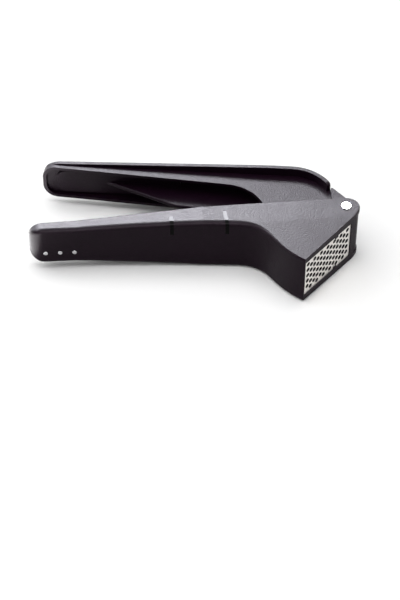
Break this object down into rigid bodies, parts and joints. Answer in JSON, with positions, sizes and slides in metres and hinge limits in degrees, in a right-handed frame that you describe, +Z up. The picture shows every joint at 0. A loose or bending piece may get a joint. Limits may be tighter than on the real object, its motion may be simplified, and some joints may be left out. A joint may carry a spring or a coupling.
{
  "type": "garlic press",
  "caption": "Hand-held garlic press: black plastic handles hinged on a steel pin, a swinging presser and a slanted steel sieve in the head.",
  "frame": {"origin": "on the hinge axis, in the plane the press lies on", "axes": "+X along the basket handle's straight rim from the grip towards the hinge, +Y to the side the plunger handle opens to, +Z up along the hinge axis"},
  "size_m": [0.18, 0.0958, 0.0339],
  "materials": {
    "black_nylon": "fine matt texture",
    "dark_nylon": "smooth matt",
    "gloss_black": "high gloss",
    "sieve_steel": "satin",
    "pin_steel": "ground",
    "polished_steel": "polished"
  },
  "bodies": {
    "basket": {"basket_handle": "black_nylon", "sieve_insert": "sieve_steel", "pivot_pin": "polished_steel", "pivot_cap": "dark_nylon", "outer_band": "gloss_black", "inner_band": "gloss_black", "grip_stud_1": "polished_steel", "grip_stud_2": "polished_steel", "grip_stud_3": "polished_steel"},
    "plunger": {"plunger_handle": "black_nylon", "presser_head": "dark_nylon", "presser_pin": "pin_steel"}
  },
  "joints": [
    {"name": "handle_hinge", "type": "hinge", "parent": "basket", "child": "plunger", "pos_m": [0, 0, 0], "axis": [0, 0, 1], "range_deg": [-95, 15.5]}
  ]
}
